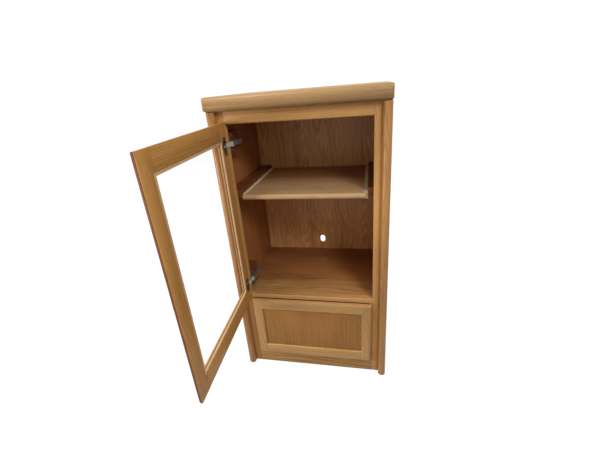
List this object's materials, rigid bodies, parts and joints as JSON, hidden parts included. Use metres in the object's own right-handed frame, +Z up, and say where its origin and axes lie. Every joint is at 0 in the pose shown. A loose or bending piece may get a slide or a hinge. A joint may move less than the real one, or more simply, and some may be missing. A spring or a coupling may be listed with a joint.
{
  "type": "audio cabinet with glazed door",
  "caption": "Tall oak cabinet with a glazed hinged door, a pull-out shelf on roller slides, a fixed shelf and a framed drawer under them.",
  "frame": {"origin": "on the floor under the middle of the base rail, halfway through its thickness", "axes": "+Z up, -Y out of the front towards the room, +X to the right of someone facing the front"},
  "size_m": [0.558, 0.8655, 1.047],
  "materials": {
    "oak": "satin lacquered oak",
    "oak_inside": "stained oak-veneered board",
    "drawer_box": "plain sanded wood",
    "glass": "clear float glass",
    "nickel_steel": "nickel-plated steel",
    "cream_steel": "cream powder coat",
    "nylon": "white nylon"
  },
  "bodies": {
    "cabinet": {"side_panel_left": "oak_inside", "side_panel_right": "oak_inside", "post_left": "oak", "post_right": "oak", "stile_left": "oak", "stile_right": "oak", "top_rail": "oak", "mid_rail": "oak", "base_rail": "oak", "drawer_opening_beads": "oak", "bottom_panel": "oak_inside", "fixed_shelf": "oak_inside", "ceiling_panel": "oak_inside", "back_panel": "oak_inside", "shelf_cleats": "oak_inside", "drawer_cleats": "oak_inside", "top_front_moulding": "oak", "top_board": "oak", "top_side_mouldings": "oak", "hinge_arms": "nickel_steel", "hinge_plates": "nickel_steel", "hinge_blocks": "oak_inside", "hinge_plate_screws": "nickel_steel", "shelf_channels": "cream_steel", "drawer_channels": "cream_steel", "channel_screws": "nickel_steel"},
    "door": {"door_hinge_stile": "oak", "door_free_stile": "oak", "door_bottom_rail": "oak", "door_top_rail": "oak", "door_glass": "glass", "door_glass_beads": "oak", "hinge_cups": "nickel_steel", "hinge_cup_screws": "nickel_steel"},
    "shelf": {"pullout_shelf": "oak", "pullout_shelf_lipping": "oak", "shelf_runner_left": "cream_steel", "shelf_runner_right": "cream_steel", "shelf_runner_screws": "nickel_steel"},
    "drawer": {"drawer_front_stile_left": "oak", "drawer_front_stile_right": "oak", "drawer_front_bottom_rail": "oak", "drawer_front_top_rail": "oak", "drawer_front_panel": "oak", "drawer_side_left": "drawer_box", "drawer_side_right": "drawer_box", "drawer_box_front": "drawer_box", "drawer_box_back": "drawer_box", "drawer_bottom": "drawer_box", "drawer_runner_left": "cream_steel", "drawer_runner_right": "cream_steel", "drawer_runner_screws": "nickel_steel"},
    "shelf_front_roller_left": {"shelf_front_roller_left": "nylon"},
    "shelf_rear_roller_left": {"shelf_rear_roller_left": "nylon"},
    "shelf_front_roller_right": {"shelf_front_roller_right": "nylon"},
    "shelf_rear_roller_right": {"shelf_rear_roller_right": "nylon"},
    "drawer_front_roller_left": {"drawer_front_roller_left": "nylon"},
    "drawer_rear_roller_left": {"drawer_rear_roller_left": "nylon"},
    "drawer_front_roller_right": {"drawer_front_roller_right": "nylon"},
    "drawer_rear_roller_right": {"drawer_rear_roller_right": "nylon"}
  },
  "joints": [
    {"name": "door_hinge", "type": "hinge", "parent": "cabinet", "child": "door", "pos_m": [-0.22975, -0.01425, 0.6465], "axis": [0, 0, -1], "range_deg": [-87, 8]},
    {"name": "shelf_slide", "type": "slide", "parent": "cabinet", "child": "shelf", "axis": [0, -1, 0], "range_m": [0, 0.222]},
    {"name": "drawer_slide", "type": "slide", "parent": "cabinet", "child": "drawer", "axis": [0, -1, 0], "range_m": [0, 0.26]},
    {"name": "shelf_front_roller_left_spin", "type": "hinge", "parent": "cabinet", "child": "shelf_front_roller_left", "pos_m": [-0.2029, 0.024, 0.7205], "axis": [1, 0, 0], "continuous": true},
    {"name": "shelf_rear_roller_left_spin", "type": "hinge", "parent": "shelf", "child": "shelf_rear_roller_left", "pos_m": [-0.2029, 0.358, 0.72125], "axis": [1, 0, 0], "continuous": true},
    {"name": "shelf_front_roller_right_spin", "type": "hinge", "parent": "cabinet", "child": "shelf_front_roller_right", "pos_m": [0.2029, 0.024, 0.7205], "axis": [1, 0, 0], "continuous": true},
    {"name": "shelf_rear_roller_right_spin", "type": "hinge", "parent": "shelf", "child": "shelf_rear_roller_right", "pos_m": [0.2029, 0.358, 0.72125], "axis": [1, 0, 0], "continuous": true},
    {"name": "drawer_front_roller_left_spin", "type": "hinge", "parent": "cabinet", "child": "drawer_front_roller_left", "pos_m": [-0.2084, 0.024, 0.084], "axis": [1, 0, 0], "continuous": true},
    {"name": "drawer_rear_roller_left_spin", "type": "hinge", "parent": "drawer", "child": "drawer_rear_roller_left", "pos_m": [-0.2084, 0.342, 0.08475], "axis": [1, 0, 0], "continuous": true},
    {"name": "drawer_front_roller_right_spin", "type": "hinge", "parent": "cabinet", "child": "drawer_front_roller_right", "pos_m": [0.2084, 0.024, 0.084], "axis": [1, 0, 0], "continuous": true},
    {"name": "drawer_rear_roller_right_spin", "type": "hinge", "parent": "drawer", "child": "drawer_rear_roller_right", "pos_m": [0.2084, 0.342, 0.08475], "axis": [1, 0, 0], "continuous": true}
  ],
  "couplings": [
    {"joint": "shelf_front_roller_left_spin", "follows": "shelf_slide", "rad_per_m": 111.11},
    {"joint": "shelf_front_roller_right_spin", "follows": "shelf_slide", "rad_per_m": 111.11},
    {"joint": "drawer_front_roller_left_spin", "follows": "drawer_slide", "rad_per_m": 111.11},
    {"joint": "drawer_front_roller_right_spin", "follows": "drawer_slide", "rad_per_m": 111.11}
  ]
}
